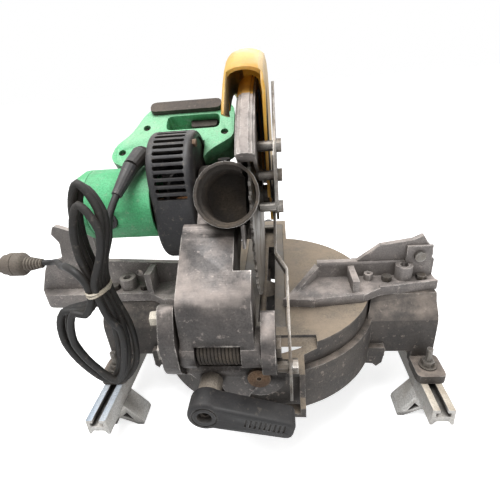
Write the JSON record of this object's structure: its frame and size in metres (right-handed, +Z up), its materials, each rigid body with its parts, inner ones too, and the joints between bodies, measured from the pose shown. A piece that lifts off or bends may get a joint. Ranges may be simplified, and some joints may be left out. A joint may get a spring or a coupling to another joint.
{
  "type": "mitre saw on stand",
  "caption": "Compound mitre saw with a hinged, tilting head, turntable, fences, blade guard and coiled mains cord, standing on two slotted mounting rails.",
  "frame": {"origin": "on the ground at the middle of the footprint, with the mains cord left out", "axes": "+Z up, +Y from the rear hinge towards the operator, +X along the rails' cross direction away from the motor, along the fence"},
  "size_m": [0.6003, 0.4996, 0.459],
  "materials": {
    "cast_dark": "painted casting, worn",
    "cast_grey": "painted casting, dusty",
    "table_tan": "painted casting, dusty and rust stained",
    "rail_aluminium": "extruded, dull",
    "steel": "zinc plated",
    "rusty_steel": "rusted",
    "green_plastic": "moulded, faded",
    "black_plastic": "moulded, dusty",
    "amber_plastic": "moulded, scuffed",
    "grip_rubber": "worn",
    "cord_black": "matt",
    "cream_paint": "painted",
    "copper": "wound wire and steel"
  },
  "bodies": {
    "base": {"rail_left": "rail_aluminium", "rail_right": "rail_aluminium", "saddles_left": "rail_aluminium", "saddles_right": "rail_aluminium", "rail_stud_1": "steel", "rail_stud_2": "steel", "rail_stud_3": "steel", "rail_stud_4": "steel", "base_casting": "cast_dark", "mitre_scale": "cast_dark", "table_pivot_bolt": "steel", "extension_wing": "cast_dark", "extension_rods": "steel", "right_fence": "cast_dark", "left_fence": "cast_dark", "fence_bolts_left": "steel", "fence_bolts_right": "steel", "sub_fence_screw": "steel"},
    "sub_fence": {"sub_fence": "cast_dark"},
    "turntable": {"turntable": "table_tan", "kerf_insert": "black_plastic", "clamp_stud": "steel"},
    "mitre_knob": {"mitre_lock_knob": "black_plastic"},
    "detent": {"detent_lever": "steel"},
    "clamp_lever": {"bevel_clamp_lever": "black_plastic"},
    "bracket": {"bevel_bracket": "cast_grey", "bevel_pivot_bolt": "rusty_steel", "hinge_pin": "steel", "depth_stop_bolt": "cream_paint", "link_pivot_bolt": "steel", "torsion_spring": "steel"},
    "link": {"guard_link": "steel"},
    "head": {"head_arm": "cast_grey", "blade_case": "cast_grey", "gear_case": "cast_grey", "arbor_bearings": "steel", "dust_port": "cast_grey", "fan_shroud": "black_plastic", "motor_housing": "green_plastic", "motor_end_cover": "green_plastic", "brush_cap_rear": "black_plastic", "brush_cap_front": "black_plastic", "side_cover_plate": "rail_aluminium", "handle_upper_shell": "green_plastic", "handle_lower_shell": "green_plastic", "grip_rubber": "grip_rubber", "strain_relief": "black_plastic", "cord": "cord_black", "cord_tie": "cream_paint", "plug": "cord_black"},
    "trigger": {"trigger": "black_plastic"},
    "lock_button": {"spindle_lock_button": "black_plastic"},
    "blade": {"blade": "steel", "blade_flange": "steel", "arbor_shaft": "steel", "arbor_bolt": "steel", "drive_gear": "steel"},
    "armature": {"armature": "copper", "cooling_fan": "black_plastic"},
    "guard": {"lower_guard": "amber_plastic"}
  },
  "joints": [
    {"name": "mitre_swing", "type": "hinge", "parent": "base", "child": "turntable", "pos_m": [0.0525, -0.0338, 0.165], "axis": [0, 0, -1], "range_deg": [-45, 45], "deforming": ["cord", "cord_tie", "plug"]},
    {"name": "bevel_tilt", "type": "hinge", "parent": "turntable", "child": "bracket", "pos_m": [0.0525, -0.1988, 0.155], "axis": [0, 1, 0], "range_deg": [0, 45]},
    {"name": "chop", "type": "hinge", "parent": "bracket", "child": "head", "pos_m": [0.0175, -0.1988, 0.19], "axis": [1, 0, 0], "range_deg": [0, 40], "deforming": ["torsion_spring"]},
    {"name": "guard_turn", "type": "hinge", "parent": "head", "child": "guard", "pos_m": [0.0525, -0.0258, 0.292], "axis": [1, 0, 0], "range_deg": [-140, 0]},
    {"name": "link_swing", "type": "hinge", "parent": "bracket", "child": "link", "pos_m": [0.0855, -0.2068, 0.172], "axis": [1, 0, 0], "range_deg": [0, 26]},
    {"name": "blade_spin", "type": "hinge", "parent": "head", "child": "blade", "pos_m": [0.0525, -0.0258, 0.292], "axis": [1, 0, 0], "continuous": true},
    {"name": "armature_spin", "type": "hinge", "parent": "head", "child": "armature", "pos_m": [-0.0975, -0.0588, 0.3], "axis": [1, 0, 0], "continuous": true},
    {"name": "sub_fence_fold", "type": "hinge", "parent": "base", "child": "sub_fence", "pos_m": [0.2575, -0.0438, 0.207], "axis": [0, 1, 0], "range_deg": [0, 75]},
    {"name": "bevel_clamp", "type": "hinge", "parent": "turntable", "child": "clamp_lever", "pos_m": [0.0025, -0.2378, 0.15], "axis": [0, 1, 0], "range_deg": [0, 60]},
    {"name": "mitre_lock", "type": "hinge", "parent": "turntable", "child": "mitre_knob", "pos_m": [0.0525, 0.1918, 0.1325], "axis": [0, 1, 0], "range_deg": [0, 180]},
    {"name": "detent_press", "type": "hinge", "parent": "turntable", "child": "detent", "pos_m": [0.0525, 0.1692, 0.113], "axis": [1, 0, 0], "range_deg": [0, 8], "stiffness_Nm_per_rad": 1.5, "springref_deg": -5.73},
    {"name": "trigger_pull", "type": "slide", "parent": "head", "child": "trigger", "axis": [0, 0.7997, 0.6004], "range_m": [0, 0.004], "stiffness_N_per_m": 400, "springref_m": -0.004},
    {"name": "lock_button_push", "type": "slide", "parent": "head", "child": "lock_button", "axis": [0, 0, -1], "range_m": [0, 0.003], "stiffness_N_per_m": 500, "springref_m": -0.003}
  ],
  "couplings": [
    {"joint": "guard_turn", "follows": "chop", "ratio": -3.5},
    {"joint": "link_swing", "follows": "chop", "ratio": 0.63485},
    {"joint": "armature_spin", "follows": "blade_spin", "ratio": -3.9091}
  ]
}
